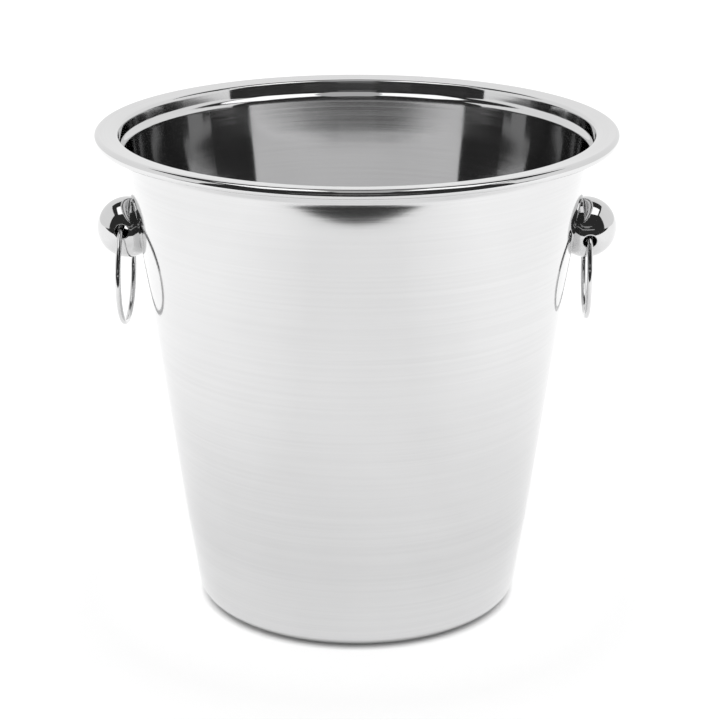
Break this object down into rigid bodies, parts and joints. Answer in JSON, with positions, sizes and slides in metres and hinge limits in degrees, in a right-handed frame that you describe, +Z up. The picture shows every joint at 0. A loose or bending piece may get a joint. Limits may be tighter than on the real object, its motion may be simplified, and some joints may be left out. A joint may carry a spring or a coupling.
{
  "type": "champagne bucket",
  "caption": "Flared round sheet-metal ice bucket with a rolled rim and a wire ring hanging through a hollow ball knob on each side.",
  "frame": {"origin": "centre of the bucket's underside, on the surface that it stands on", "axes": "+Z up along the bucket's axis; the knobs are on +X (right) and -X (left); -Y is the front"},
  "size_m": [0.216, 0.215, 0.204],
  "materials": {
    "shell_steel": "bright satin, finely brushed round the wall, polished rim",
    "seat_steel": "plain mill finish, hidden",
    "polished_steel": "mirror polished",
    "ring_steel": "mirror polished wire"
  },
  "bodies": {
    "bucket": {"bucket_shell": "shell_steel", "left_knob_seat": "seat_steel", "left_knob_dome": "polished_steel", "right_knob_seat": "seat_steel", "right_knob_dome": "polished_steel"},
    "left_ring": {"left_ring": "ring_steel"},
    "right_ring": {"right_ring": "ring_steel"}
  },
  "joints": [
    {"name": "left_ring_swing", "type": "hinge", "parent": "bucket", "child": "left_ring", "pos_m": [-0.09639, -0.00004, 0.16068], "axis": [0.0521, 0.993, -0.1063], "range_deg": [-13, 160]},
    {"name": "right_ring_swing", "type": "hinge", "parent": "bucket", "child": "right_ring", "pos_m": [0.09639, 0.0001, 0.16069], "axis": [-0.0391, -0.9681, -0.2473], "range_deg": [-13, 160]}
  ]
}
